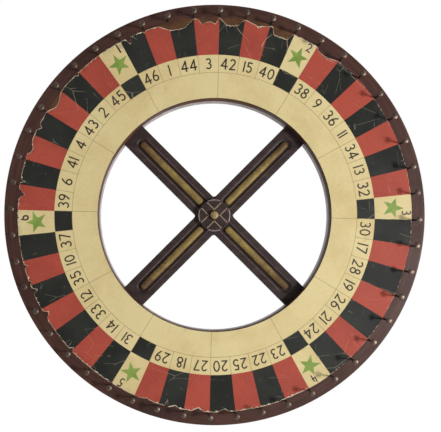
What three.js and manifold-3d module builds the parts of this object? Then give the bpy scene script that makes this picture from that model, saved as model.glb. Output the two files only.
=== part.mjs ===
// A wall-hung numbered gaming wheel: a two-layer wooden rim with a pasted layout and a ring of nails, two
// half-lapped spoke bars with gold beads, and a bushed hub that turns on a fixed spindle.
// Millimetres, +Z up. The spindle lies along Y and the wheel's face looks along -Y. The origin is the
// centre of the wall plate's back face, and a "depth" below is a distance out from that face.
import * as THREE from "three";
import { mergeVertices } from "three/addons/utils/BufferGeometryUtils.js";
import Module from "manifold-3d";

const wasm = await Module();
wasm.setup();

// Driving dimensions
const gap = 0.3; // between pieces that meet or fit in each other
const segments = 48; // numbered boxes, with a nail at each boundary
const firstBoundary = -36; // degrees clockwise from the top, seen from the front
const plate = { radius: 34, thickness: 6, bossRadius: 15, bossHeight: 6, socketFloor: 3 };
const plateScrews = { count: 4, circleRadius: 24, holeRadius: 2.5 };
const spindle = { tailRadius: 6, collarRadius: 10, collarLength: 11.8, journalRadius: 5, threadRadius: 4 };
const thrustWasher = { radius: 13, thickness: 2 };
const bush = { radius: 7.5, flangeRadius: 16, flangeThickness: 3, proud: 0.5 };
const endPlay = 0.4; // the wheel's play along the spindle
const rim = { radius: 381, openingRadius: 210.6, backLayer: 19, frontLayer: 19, easedEdge: 3 };
const layout = { thickness: 0.8, outerMargin: 24, innerMargin: 1 };
const bar = { width: 47, housingMargin: 51 };
const bead = { width: 12.4, innerMargin: 0.9, outerMargin: 20.6 };
const disc = { lapCover: 5.9, thickness: 10, easedEdge: 1.5 }; // lapCover: past the edge of the bars' lap
const frontWasher = { radius: 9, thickness: 1.2 };
const cap = { radius: 7.5, skirt: 2.5, domeHeight: 5, threadDepth: 4 };
const nail = { rimMargin: 21, proud: 30, driven: 14, pointLength: 2, shankRadius: 1.6 };
const nailHead = { radius: 5.4, height: 3, brow: 1 }; // brow: from the dome's top down to its shoulder

// How finely round shapes are faceted
const rimSides = 96;
const hubSides = 24;
const beadSides = 12;
const beadEndSteps = 3;
const domeSteps = 4;
const nailSides = 8;
const screwSides = 12;

// Depths along the spindle, from the wall outwards
const bossDepth = plate.thickness + plate.bossHeight;
const collarBack = bossDepth + gap;
const collarFront = collarBack + spindle.collarLength;
const thrustBack = collarFront + gap;
const thrustFront = thrustBack + thrustWasher.thickness;
const flangeBack = thrustFront + gap;
const flangeFront = flangeBack + bush.flangeThickness;
const wheelBack = flangeFront + gap;
const layerJoint = wheelBack + rim.backLayer;
const barFront = layerJoint - gap;
const rimFace = layerJoint + rim.frontLayer;
const discFront = layerJoint + disc.thickness;
const bushFront = discFront + bush.proud;
const journalFront = bushFront + endPlay;
const capBack = journalFront + frontWasher.thickness;
const nailFront = rimFace + nail.proud;

// Radii that follow from others
const layoutOuter = rim.radius - layout.outerMargin;
const layoutInner = rim.openingRadius + layout.innerMargin;
const nailCircle = rim.radius - nail.rimMargin;
const barReach = rim.radius - bar.housingMargin;
const discRadius = bar.width / 2 + disc.lapCover;
const beadInner = discRadius + bead.innerMargin;
const beadOuter = rim.openingRadius - bead.outerMargin;

const finishes = {
  rimPaint: { color: 0x4a332c, roughness: 0.45, metalness: 0 },
  wood: { color: 0x6e4c35, roughness: 0.7, metalness: 0 },
  paper: { color: 0xd9c99a, roughness: 0.8, metalness: 0 },
  spokePaint: { color: 0x33242a, roughness: 0.4, metalness: 0 },
  brass: { color: 0xa8935a, roughness: 0.35, metalness: 1 },
  steel: { color: 0x55524e, roughness: 0.5, metalness: 1 },
  iron: { color: 0x2b2a29, roughness: 0.6, metalness: 1 },
  leather: { color: 0x59331f, roughness: 0.8, metalness: 0 },
  bronze: { color: 0x8a7458, roughness: 0.4, metalness: 1 },
};

// The radius of a hole whose flat sides stay a gap clear of a round piece.
function holeRadius(radius, sides) {
  return (radius + gap) / Math.cos(Math.PI / sides);
}

// A piece turned about the spindle from points [radius, depth], listed by growing depth up the outside.
// A profile that starts off the axis is closed on itself, which leaves a ring.
function turned(profile, sides) {
  const points = profile.map(([radius, depth]) => new THREE.Vector2(radius, -depth));
  if (profile[0][0] > 0) {
    points.push(points[0].clone());
  }
  return new THREE.LatheGeometry(points.reverse(), sides);
}

function solidOf(geometry) {
  const bare = geometry.index ? geometry.toNonIndexed() : geometry.clone();
  bare.deleteAttribute("normal");
  bare.deleteAttribute("uv");
  const merged = mergeVertices(bare, 1e-4);
  const vertProperties = merged.getAttribute("position").array;
  const triVerts = new Uint32Array(merged.index.array);
  return new wasm.Manifold(new wasm.Mesh({ numProp: 3, vertProperties, triVerts }));
}

function geometryOf(solid) {
  const mesh = solid.getMesh();
  const geometry = new THREE.BufferGeometry();
  geometry.setAttribute("position", new THREE.BufferAttribute(new Float32Array(mesh.vertProperties), 3));
  geometry.setIndex(Array.from(mesh.triVerts));
  const faceted = geometry.toNonIndexed();
  faceted.computeVertexNormals();
  return faceted;
}

// The geometry left when each cutter is taken from the blank.
function cut(blank, cutters) {
  return geometryOf(cutters.reduce((solid, cutter) => solid.subtract(solidOf(cutter)), solidOf(blank)));
}

function joined(parts) {
  return geometryOf(parts.map(solidOf).reduce((solid, part) => solid.add(part)));
}

// A box from depth to depth, centred on the spindle across the other two directions.
function slab(length, backDepth, frontDepth, width) {
  const box = new THREE.BoxGeometry(length, frontDepth - backDepth, width);
  return box.translate(0, -(backDepth + frontDepth) / 2, 0);
}

// A round hole along the spindle's direction.
function drill(radius, backDepth, frontDepth, sides) {
  const hole = new THREE.CylinderGeometry(radius, radius, frontDepth - backDepth, sides);
  return hole.translate(0, -(backDepth + frontDepth) / 2, 0);
}

// Degrees clockwise from the top to a point at that radius, with x to the right and z up.
function onCircle(radius, degrees) {
  const angle = THREE.MathUtils.degToRad(degrees);
  return { x: radius * Math.sin(angle), z: radius * Math.cos(angle) };
}

function addPiece(group, name, geometry, finish) {
  const mesh = new THREE.Mesh(geometry, new THREE.MeshStandardMaterial(finish));
  mesh.name = name;
  group.add(mesh);
  return mesh;
}

const nailPlaces = Array.from({ length: segments }, (_, i) =>
  onCircle(nailCircle, firstBoundary + (i * 360) / segments),
);

// Rim: the back layer has a through housing for each bar, closed by the outer part of the ring.
function backRing() {
  const ring = turned(
    [
      [rim.openingRadius, wheelBack],
      [rim.radius - rim.easedEdge, wheelBack],
      [rim.radius, wheelBack + rim.easedEdge],
      [rim.radius, layerJoint],
      [rim.openingRadius, layerJoint],
    ],
    rimSides,
  );
  const housing = () =>
    slab(2 * (barReach + gap), wheelBack - gap, layerJoint + gap, bar.width + 2 * gap);
  return cut(ring, [housing().rotateY(Math.PI / 4), housing().rotateY(-Math.PI / 4)]);
}

function frontRing() {
  const ring = turned(
    [
      [rim.openingRadius, layerJoint],
      [rim.radius, layerJoint],
      [rim.radius, rimFace - rim.easedEdge],
      [rim.radius - rim.easedEdge, rimFace],
      [rim.openingRadius, rimFace],
    ],
    rimSides,
  );
  const holes = nailPlaces.map(({ x, z }) =>
    drill(
      holeRadius(nail.shankRadius, nailSides),
      rimFace - nail.driven - gap,
      rimFace + gap,
      nailSides,
    ).translate(x, 0, z),
  );
  return cut(ring, holes);
}

// Layout: a thin sheet pasted on the rim's face, inside the nails.
function layoutSheet() {
  return turned(
    [
      [layoutInner, rimFace],
      [layoutOuter, rimFace],
      [layoutOuter, rimFace + layout.thickness],
      [layoutInner, rimFace + layout.thickness],
    ],
    rimSides,
  );
}

// A nail at the origin of its own place, pointing at the wall.
function nailGeometry() {
  return turned(
    [
      [0, rimFace - nail.driven],
      [nail.shankRadius, rimFace - nail.driven + nail.pointLength],
      [nail.shankRadius, nailFront - nailHead.height],
      [nailHead.radius, nailFront - nailHead.height],
      [nailHead.radius * Math.SQRT1_2, nailFront - nailHead.brow],
      [0, nailFront],
    ],
    nailSides,
  );
}

// Spokes: a bar lies along X, with a half-lap in the middle, a hole for the bush and a bead on each arm.
function spokeBar(lapBack, lapFront) {
  const beadRadius = bead.width / 2;
  const beadLength = beadOuter - beadInner - bead.width;
  const beads = [-1, 1].map((side) =>
    new THREE.CapsuleGeometry(beadRadius, beadLength, beadEndSteps, beadSides)
      .rotateZ(Math.PI / 2)
      .translate((side * (beadInner + beadOuter)) / 2, -barFront, 0),
  );
  const blank = joined([slab(2 * barReach, wheelBack, barFront, bar.width), ...beads]);
  const lap = slab(bar.width + 2 * gap, lapBack, lapFront, bar.width + 2 * gap);
  const hole = drill(holeRadius(bush.radius, hubSides), wheelBack - gap, barFront + gap, hubSides);
  return cut(blank, [lap, hole]);
}

// Hub pieces that turn with the wheel
function hubDisc() {
  const bore = holeRadius(bush.radius, hubSides);
  return turned(
    [
      [bore, layerJoint],
      [discRadius, layerJoint],
      [discRadius, discFront - disc.easedEdge],
      [discRadius - disc.easedEdge, discFront],
      [bore, discFront],
    ],
    hubSides,
  );
}

function flangedBush() {
  const bore = holeRadius(spindle.journalRadius, hubSides);
  return turned(
    [
      [bore, flangeBack],
      [bush.flangeRadius, flangeBack],
      [bush.flangeRadius, flangeFront],
      [bush.radius, flangeFront],
      [bush.radius, bushFront],
      [bore, bushFront],
    ],
    hubSides,
  );
}

// Pieces that stay still on the wall
function wallPlate() {
  const blank = turned(
    [
      [0, 0],
      [plate.radius, 0],
      [plate.radius, plate.thickness],
      [plate.bossRadius, plate.thickness],
      [plate.bossRadius, bossDepth],
      [0, bossDepth],
    ],
    hubSides,
  );
  const socket = drill(
    holeRadius(spindle.tailRadius, hubSides),
    plate.socketFloor,
    bossDepth + gap,
    hubSides,
  );
  const screwHoles = Array.from({ length: plateScrews.count }, (_, i) => {
    const { x, z } = onCircle(plateScrews.circleRadius, ((i + 0.5) * 360) / plateScrews.count);
    return drill(plateScrews.holeRadius, -gap, plate.thickness + gap, screwSides).translate(x, 0, z);
  });
  return cut(blank, [socket, ...screwHoles]);
}

function fixedSpindle() {
  const tailBack = plate.socketFloor + gap;
  const threadFront = capBack + cap.threadDepth - gap;
  return turned(
    [
      [0, tailBack],
      [spindle.tailRadius, tailBack],
      [spindle.tailRadius, collarBack],
      [spindle.collarRadius, collarBack],
      [spindle.collarRadius, collarFront],
      [spindle.journalRadius, collarFront],
      [spindle.journalRadius, journalFront],
      [spindle.threadRadius, journalFront],
      [spindle.threadRadius, threadFront],
      [0, threadFront],
    ],
    hubSides,
  );
}

function washer(backDepth, { radius, thickness }, shaftRadius) {
  const bore = holeRadius(shaftRadius, hubSides);
  return turned(
    [
      [bore, backDepth],
      [radius, backDepth],
      [radius, backDepth + thickness],
      [bore, backDepth + thickness],
    ],
    hubSides,
  );
}

// The dome is a quarter of an ellipse, with a blind hole behind it for the spindle's thread.
function capNut() {
  const dome = Array.from({ length: domeSteps + 1 }, (_, i) => {
    const angle = (i / domeSteps) * (Math.PI / 2);
    const radius = i === domeSteps ? 0 : cap.radius * Math.cos(angle);
    return [radius, capBack + cap.skirt + cap.domeHeight * Math.sin(angle)];
  });
  const blank = turned([[0, capBack], [cap.radius, capBack], ...dome], hubSides);
  const threadHole = drill(
    holeRadius(spindle.threadRadius, hubSides),
    capBack - gap,
    capBack + cap.threadDepth,
    hubSides,
  );
  return cut(blank, [threadHole]);
}

const mount = new THREE.Group();
addPiece(mount, "wall_plate", wallPlate(), finishes.iron);
addPiece(mount, "spindle", fixedSpindle(), finishes.steel);
addPiece(mount, "thrust_washer", washer(thrustBack, thrustWasher, spindle.journalRadius), finishes.leather);
addPiece(mount, "front_washer", washer(journalFront, frontWasher, spindle.threadRadius), finishes.iron);
addPiece(mount, "cap_nut", capNut(), finishes.brass);

const wheel = new THREE.Group();
addPiece(wheel, "rim_back_ring", backRing(), finishes.wood);
addPiece(wheel, "rim_front_ring", frontRing(), finishes.rimPaint);
addPiece(wheel, "layout_sheet", layoutSheet(), finishes.paper);
addPiece(wheel, "hub_disc", hubDisc(), finishes.spokePaint);
addPiece(wheel, "hub_bush", flangedBush(), finishes.brass);

// The falling bar is lapped at the back and the rising bar at the front, half a thickness each.
const lapDepth = (wheelBack + barFront) / 2;
const fallingBar = spokeBar(wheelBack - gap, lapDepth + gap / 2);
const risingBar = spokeBar(lapDepth - gap / 2, barFront + gap);
addPiece(wheel, "spoke_bar_falling", fallingBar, finishes.spokePaint).rotation.y = Math.PI / 4;
addPiece(wheel, "spoke_bar_rising", risingBar, finishes.spokePaint).rotation.y = -Math.PI / 4;

const sharedNail = nailGeometry();
nailPlaces.forEach(({ x, z }, i) => {
  const name = `nail_${String(i + 1).padStart(2, "0")}`;
  addPiece(wheel, name, sharedNail, finishes.bronze).position.set(x, 0, z);
});

const gamingWheel = new THREE.Group();
gamingWheel.add(mount, wheel);

export default gamingWheel;
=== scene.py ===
import random
from math import atan2, copysign, cos, degrees, exp, hypot, pi, radians, sin, sqrt, tan

import bmesh
import bpy
from mathutils import Matrix, Vector, noise


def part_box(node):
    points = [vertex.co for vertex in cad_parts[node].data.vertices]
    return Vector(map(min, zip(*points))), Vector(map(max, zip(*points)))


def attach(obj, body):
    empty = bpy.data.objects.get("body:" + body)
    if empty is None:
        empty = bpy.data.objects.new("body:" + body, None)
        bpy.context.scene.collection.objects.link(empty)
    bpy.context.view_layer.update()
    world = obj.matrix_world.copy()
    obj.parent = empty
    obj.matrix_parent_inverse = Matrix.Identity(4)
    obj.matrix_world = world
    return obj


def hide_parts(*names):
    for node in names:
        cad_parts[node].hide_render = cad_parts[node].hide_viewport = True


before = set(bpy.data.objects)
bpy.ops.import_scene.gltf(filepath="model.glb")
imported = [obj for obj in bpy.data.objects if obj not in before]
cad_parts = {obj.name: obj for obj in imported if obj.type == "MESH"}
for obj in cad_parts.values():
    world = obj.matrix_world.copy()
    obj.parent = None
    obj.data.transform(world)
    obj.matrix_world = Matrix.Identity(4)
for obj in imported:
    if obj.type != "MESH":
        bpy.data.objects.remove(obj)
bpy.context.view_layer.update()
print("frame loaded,", len(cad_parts), "nodes")

mm = 0.001
onAxis = 1e-7  # a radius below this is on the spindle's axis
wheelBody = "wheel"
mountBody = "mount"

# The wheel's shared sizes in metres. A depth is a distance out from the wall, along -Y,
# and an angle is in degrees clockwise from the top, seen from the front.
wheel = {
    "segments": 48,
    "segmentAngle": 7.5,
    "firstBoundary": -36.0,
    "radius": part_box("rim_front_ring")[1].x,
    "opening": 210.6 * mm,
    "backDepth": -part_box("rim_back_ring")[1].y,
    "jointDepth": -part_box("rim_front_ring")[1].y,
    "faceDepth": -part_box("rim_front_ring")[0].y,
    "barWidth": 47.0 * mm,
    "barReach": 330.0 * mm,
    "barDepth": 48.7 * mm,
}

# Camera, soft key from the lower right, weak fill and a pale round floor
studio = {
    "lens": 50.0,
    "sensor": 36.0,
    "cameraPlace": (-0.045, -1.1755, -0.080),  # a little low and to the left, square to the wheel
    "cameraShift": (0.0700, 0.0979),  # centres the wheel in the frame
    "keyDirection": (0.68, -0.72, -0.14),
    "keyDistance": 4.0,
    "keySize": 0.6,
    "keyPower": 100.0,
    "sideDirection": (0.93, -0.32, -0.15),
    "sideDistance": 2.2,
    "sideSize": 1.3,
    "sidePower": 13.0,
    "fillPlace": (-1.6, -2.2, 1.2),
    "fillSize": 1.8,
    "fillPower": 5.0,
    "worldSeen": 1.0,
    "worldFront": 0.20,  # light from the camera's side, a darker room
    "worldBack": 0.72,  # light from behind the wheel, a white ground
    "worldLeft": 0.6,
    "worldRight": 1.32,
    "floorRadius": 3.0,
    "floorHeight": -1.5,
    "floorSides": 96,
}


def linked(name, data):
    thing = bpy.data.objects.new(name, data)
    bpy.context.scene.collection.objects.link(thing)
    return thing


def makeCamera():
    data = bpy.data.cameras.new("camera")
    data.lens = studio["lens"]
    data.sensor_width = studio["sensor"]
    data.shift_x, data.shift_y = studio["cameraShift"]
    data.clip_start = 0.01
    data.clip_end = 50.0
    camera = linked("camera", data)
    camera.location = studio["cameraPlace"]
    camera.rotation_euler = (radians(90.0), 0.0, 0.0)
    bpy.context.scene.camera = camera


def makeLamp(name, place, size, power):
    data = bpy.data.lights.new(name, "AREA")
    data.shape = "DISK"
    data.size = size
    data.energy = power
    lamp = linked(name, data)
    lamp.location = place
    lamp.rotation_euler = Vector(place).to_track_quat("Z", "Y").to_euler()


# Puts values on a node's inputs, and links where a value is another node's socket
def feed(node, inputs):
    for name, value in inputs.items():
        if isinstance(value, bpy.types.NodeSocket):
            node.id_data.links.new(value, node.inputs[name])
        else:
            node.inputs[name].default_value = value


# Adds a node beside its owner, a tree or any socket in it
def add(owner, kind, inputs=None, **settings):
    node = owner.id_data.nodes.new(kind)
    for name, value in settings.items():
        setattr(node, name, value)
    feed(node, inputs or {})
    return node


def shade(red, green, blue):
    def linear(value):
        return value / 12.92 if value <= 0.04045 else ((value + 0.055) / 1.055) ** 2.4

    return (linear(red), linear(green), linear(blue), 1.0)


def maths(operation, first, second=0.0):
    owner = first if isinstance(first, bpy.types.NodeSocket) else second
    return add(owner, "ShaderNodeMath", {0: first, 1: second}, operation=operation).outputs[0]


def plus(first, second):
    return maths("ADD", first, second)


def minus(first, second):
    return maths("SUBTRACT", first, second)


def times(first, *others):
    for other in others:
        first = maths("MULTIPLY", first, other)
    return first


def spread(value, low, high, bottom=0.0, top=1.0):
    inputs = {"Value": value, "From Min": low, "From Max": high, "To Min": bottom, "To Max": top}
    return add(value, "ShaderNodeMapRange", inputs, interpolation_type="SMOOTHSTEP").outputs["Result"]


def mixed(factor, first, second):
    first, second = [shade(*colour) if isinstance(colour, tuple) else colour for colour in (first, second)]
    return add(factor, "ShaderNodeMix", {0: factor, 6: first, 7: second}, data_type="RGBA").outputs[2]


# Goes from the first colour to the second as the value goes from low to high
def tint(first, second, value, low, high, bottom=0.0, top=1.0):
    return mixed(spread(value, low, high, bottom, top), first, second)


def cloud(place, scale, detail=4.0, roughness=0.55, distortion=0.0):
    inputs = {"Vector": place, "Scale": scale, "Detail": detail}
    inputs.update({"Roughness": roughness, "Distortion": distortion})
    return add(place, "ShaderNodeTexNoise", inputs).outputs["Fac"]


def stretched(place, scale, turn=(0.0, 0.0, 0.0)):
    angles = [radians(value) for value in turn]
    inputs = {"Vector": place, "Rotation": angles, "Scale": scale}
    return add(place, "ShaderNodeMapping", inputs).outputs["Vector"]


# Thin broken lines, as scratches: the edges of large cells, kept only where a cloud is high
def scratches(place, scale, stretch, turn, width, amount):
    inputs = {"Vector": stretched(place, stretch, turn), "Scale": scale}
    cells = add(place, "ShaderNodeTexVoronoi", inputs, feature="DISTANCE_TO_EDGE")
    line = spread(cells.outputs["Distance"], 0.0, width, 1.0, 0.0)
    return times(line, spread(cloud(place, scale * 1.7, 2.0), amount, amount + 0.06))


# Distance from the wheel's axis, and the angle clockwise from the top in radians
def polar(place):
    parts = add(place, "ShaderNodeSeparateXYZ", {0: place}).outputs
    flat = add(place, "ShaderNodeCombineXYZ", {"X": parts["X"], "Z": parts["Z"]})
    length = add(place, "ShaderNodeVectorMath", {0: flat.outputs[0]}, operation="LENGTH")
    return length.outputs["Value"], maths("ARCTAN2", parts["X"], parts["Z"]), parts["Y"]


# Coordinates that run round the wheel, so that streaks follow the rim
def aroundRim(place, reach):
    radius, angle, depth = polar(place)
    inputs = {"X": times(angle, reach), "Y": radius, "Z": depth}
    return add(place, "ShaderNodeCombineXYZ", inputs).outputs[0]


def newFinish(name):
    finish = bpy.data.materials.new(name)
    finish.use_nodes = True
    tree = finish.node_tree
    tree.nodes.clear()
    shader = add(tree, "ShaderNodeBsdfPrincipled")
    add(tree, "ShaderNodeOutputMaterial", {"Surface": shader.outputs["BSDF"]})
    return finish, shader, add(tree, "ShaderNodeTexCoord").outputs["Object"]


# The last step of every finish; its relief is a bump of that height over that distance
def dress(shader, colour, roughness, height=None, distance=0.0, strength=1.0, specular=0.5, metal=0.0):
    inputs = {"Base Color": colour, "Roughness": roughness, "Metallic": metal, "Specular IOR Level": specular}
    if height is not None:
        relief = {"Height": height, "Distance": distance, "Strength": strength}
        inputs["Normal"] = add(shader, "ShaderNodeBump", relief).outputs["Normal"]
    feed(shader, inputs)


# The angle of a segment's first boundary, or of a place part of the way across it
def angleOf(segment):
    return wheel["firstBoundary"] + segment * wheel["segmentAngle"]


def onWheel(radius, angle, depth):
    turn = radians(angle)
    return Vector((radius * sin(turn), -depth, radius * cos(turn)))


def soften(mesh, sharp):
    mesh.shade_smooth()
    mesh.set_sharp_from_angle(angle=radians(sharp))


def fromBmesh(name, shape, coats=(), sharp=35.0):
    shape.normal_update()
    bmesh.ops.recalc_face_normals(shape, faces=shape.faces)
    mesh = bpy.data.meshes.new(name)
    shape.to_mesh(mesh)
    shape.free()
    for coat in coats:
        mesh.materials.append(finishes[coat])
    soften(mesh, sharp)
    return linked(name, mesh)


# Replaces a piece's modifiers by the mesh they make
def settle(piece, sharp=35.0):
    graph = bpy.context.evaluated_depsgraph_get()
    mesh = bpy.data.meshes.new_from_object(piece.evaluated_get(graph), depsgraph=graph)
    piece.modifiers.clear()
    piece.data = mesh
    soften(mesh, sharp)


def combine(piece, other, operation="DIFFERENCE"):
    modifier = piece.modifiers.new("combine", "BOOLEAN")
    modifier.operation = operation
    modifier.solver = "EXACT"
    modifier.object = other
    settle(piece)
    bpy.data.objects.remove(other)


# Joins rows of vertices with faces and caps both ends
def skin(shape, rows):
    count = len(rows[0])
    for near, far in zip(rows, rows[1:]):
        for index in range(count):
            after = (index + 1) % count
            shape.faces.new([near[index], near[after], far[after], far[index]])
    shape.faces.new(rows[0])
    shape.faces.new(list(reversed(rows[-1])))


# Copies a part's faces into another shape; placed makes the new vertex for each old one
def copyInto(shape, part, placed):
    copies = {vertex: placed(vertex) for vertex in part.verts}
    for face in part.faces:
        shape.faces.new([copies[vertex] for vertex in face.verts])
    part.free()


# Corners are (radius, depth, rounding); each rounded corner becomes a short curve
def eased(corners, steps=4):
    points = []
    for index, (radius, depth, rounding) in enumerate(corners):
        here = Vector((radius, depth))
        if rounding == 0:
            points.append(here)
            continue
        before = Vector(corners[index - 1][:2])
        after = Vector(corners[(index + 1) % len(corners)][:2])
        towardsBefore = (before - here).normalized()
        towardsAfter = (after - here).normalized()
        reach = rounding / tan(towardsBefore.angle(towardsAfter) / 2)
        start = here + towardsBefore * reach
        end = here + towardsAfter * reach
        for step in range(steps + 1):
            share = step / steps
            near = start.lerp(here, share)
            far = here.lerp(end, share)
            points.append(near.lerp(far, share))
    return points


# A shape turned about the spindle: a solid if its profile starts and ends on the axis, or else a ring
def turnedShape(profile, sides, startAngle=0.0, sweep=360.0):
    shape = bmesh.new()
    whole = sweep >= 360.0
    stations = sides if whole else sides + 1
    rows = []
    for radius, depth in profile:
        if radius < onAxis:
            vertex = shape.verts.new((0.0, -depth, 0.0))
            rows.append([vertex] * stations)
            continue
        angles = [startAngle + sweep * index / sides for index in range(stations)]
        rows.append([shape.verts.new(onWheel(radius, angle, depth)) for angle in angles])
    solid = profile[0][0] < onAxis
    pairs = list(zip(rows, rows[1:] if solid else rows[1:] + rows[:1]))
    for near, far in pairs:
        for index in range(sides):
            after = (index + 1) % stations
            distinct = list(dict.fromkeys([near[index], near[after], far[after], far[index]]))
            if len(distinct) > 2:
                shape.faces.new(distinct)
    if not whole:
        shape.faces.new([row[0] for row in rows])
        shape.faces.new([row[-1] for row in rows])
    return shape


def turned(name, corners, sides, coat, steps=4, sharp=35.0):
    profile = [(point.x, point.y) for point in eased(corners, steps)]
    return fromBmesh(name, turnedShape(profile, sides), [coat], sharp)


# A box along a spoke's direction, from one depth to another
def slab(name, angle, halfLength, halfWidth, backDepth, frontDepth):
    shape = bmesh.new()
    bmesh.ops.create_cube(shape, size=2.0)
    half = (frontDepth - backDepth) / 2
    middle = (frontDepth + backDepth) / 2
    for vertex in shape.verts:
        x, y, z = vertex.co
        vertex.co = onArm(angle, z * halfLength, x * halfWidth, middle + y * half)
    return fromBmesh(name, shape)


# A point given by its place along and across a spoke that points at that angle
def onArm(angle, along, across, depth):
    turn = radians(angle)
    out = Vector((sin(turn), 0.0, cos(turn)))
    side = Vector((cos(turn), 0.0, -sin(turn)))
    return out * along + side * across + Vector((0.0, -depth, 0.0))


def assign(piece, body, slot, *nodes):
    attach(piece, body)
    if nodes:
        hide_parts(*nodes)


# Finishes
rimLook = {
    "maroon": (0.265, 0.165, 0.143),
    "maroonWorn": (0.335, 0.215, 0.18),
    "maroonDark": (0.19, 0.12, 0.10),
    "wood": (0.40, 0.27, 0.17),
    "woodDark": (0.28, 0.175, 0.11),
    "paperEdge": 0.3575,  # metres from the axis
    "edgeWobble": 0.012,
    "bareWindows": ((-17.0, 25.0), (-60.0, -44.0)),  # degrees, where paint came off with the paper
    "windowSoftness": 1.72,
}


def makeRimPaint():
    finish, shader, place = newFinish("rimPaint")
    look = rimLook
    around = aroundRim(place, 0.36)
    streaks = cloud(stretched(around, (6.0, 60.0, 60.0)), 2.0, 6.0, 0.6)
    patches = cloud(place, 9.0, 5.0, 0.6, 0.4)
    colour = tint(look["maroon"], look["maroonWorn"], streaks, 0.35, 0.7)
    dulled = spread(patches, 0.45, 0.75, 0.0, 0.6)
    colour = mixed(dulled, colour, look["maroonDark"])
    radius, angle, _ = polar(place)
    ragged = cloud(place, 70.0, 5.0, 0.7)
    wobble = times(minus(ragged, 0.5), look["edgeWobble"])
    edge = look["paperEdge"]
    inside = spread(plus(radius, wobble), edge - mm, edge + mm, 1.0, 0.0)
    grain = cloud(stretched(around, (9.0, 170.0, 170.0)), 2.0, 5.0, 0.65)
    wood = tint(look["wood"], look["woodDark"], grain, 0.35, 0.68)
    bare = None
    for low, high in look["bareWindows"]:
        low, high, soft = [radians(value) for value in (low, high, look["windowSoftness"])]
        closed = spread(angle, high - soft, high + soft, 1.0, 0.0)
        window = times(spread(angle, low - soft, low + soft), closed)
        bare = window if bare is None else maths("MAXIMUM", bare, window)
    uneven = spread(cloud(place, 30.0, 4.0, 0.6), 0.3, 0.5)
    bare = times(bare, inside, uneven)
    colour = mixed(bare, colour, wood)
    lines = scratches(place, 9.0, (1.0, 1.0, 2.6), (0.0, 35.0, 0.0), 0.006, 0.56)
    colour = mixed(times(lines, 0.4), colour, (0.5, 0.4, 0.33))
    wear = spread(patches, 0.3, 0.75, 0.42, 0.60)
    fine = cloud(place, 420.0, 3.0)
    height = plus(times(streaks, 0.6), times(fine, 0.25))
    dress(shader, colour, plus(wear, times(bare, 0.25)), height, 0.4 * mm, 0.55, specular=0.24)
    return finish


woodLook = {
    "light": (0.40, 0.27, 0.17),
    "dark": (0.24, 0.15, 0.10),
    "stain": (0.19, 0.12, 0.10),
    # pale colour for the opening's wall: a painted reflection of the white surroundings, not the wood's own
    # colour
    "wallSheen": (0.76, 0.70, 0.70),
    "wallSheenTo": (0.2108, 0.2116),  # metres from the axis: the opening's wall only
}


# Brown-stained boards; the grain attribute holds each board's own lengthwise coordinates. The opening's wall
# is mixed towards a pale colour in patches, a painted reflection of the white surroundings.
def makeRimWood():
    finish, shader, place = newFinish("rimWood")
    board = add(place, "ShaderNodeAttribute", attribute_name="grain").outputs["Vector"]
    long = stretched(board, (2.2, 46.0, 46.0))
    rings = cloud(long, 2.4, 6.0, 0.6, 0.9)
    pores = cloud(stretched(board, (14.0, 420.0, 420.0)), 2.0, 3.0, 0.6)
    colour = tint(woodLook["light"], woodLook["dark"], rings, 0.35, 0.68)
    stain = spread(cloud(place, 6.0, 4.0, 0.6), 0.45, 0.7, 0.0, 0.65)
    colour = mixed(stain, colour, woodLook["stain"])
    colour = tint(colour, (0.14, 0.09, 0.07), pores, 0.55, 0.75, 0.0, 0.5)
    radius, _, _ = polar(place)
    near, far = woodLook["wallSheenTo"]
    # painted reflection: the opening's wall goes pale in patches, as if it mirrored the white surroundings
    wall = spread(radius, near, far, 0.85, 0.0)
    worn = spread(cloud(place, 45.0, 5.0, 0.65), 0.35, 0.62, 0.55, 1.0)
    colour = mixed(times(wall, worn), colour, woodLook["wallSheen"])
    dull = spread(rings, 0.3, 0.7, 0.52, 0.7)
    height = plus(rings, times(pores, 0.5))
    dress(shader, colour, minus(dull, times(wall, 0.36)), height, 0.5 * mm, 0.5)
    return finish


# The three printed colours of the layout: base, blotch, rubbed-through colour and how much it shows
paperLooks = {
    "cream": {
        "base": (0.88, 0.81, 0.60), "blotch": (0.82, 0.73, 0.51), "rub": (0.62, 0.50, 0.34),
        "scratch": 0.2, "fleck": 0.2, "smudge": 1.0,
    },
    "red": {
        "base": (0.69, 0.305, 0.245), "blotch": (0.61, 0.255, 0.205), "rub": (0.83, 0.60, 0.50),
        "scratch": 0.3, "fleck": 0.12, "smudge": 0.5,
    },
    "black": {
        "base": (0.145, 0.15, 0.135), "blotch": (0.20, 0.205, 0.185), "rub": (0.55, 0.54, 0.48),
        "scratch": 0.85, "fleck": 0.04, "smudge": 0.3,
    },
}
paperWear = {
    "blotchScale": 11.0,
    "fibreScale": 260.0,
    "speckScale": 62.0,
    # pale colour for chips at the torn edge and for the painted edge highlight along the trimmed edge
    "paleEdgeColour": (0.86, 0.80, 0.68),
}


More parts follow.
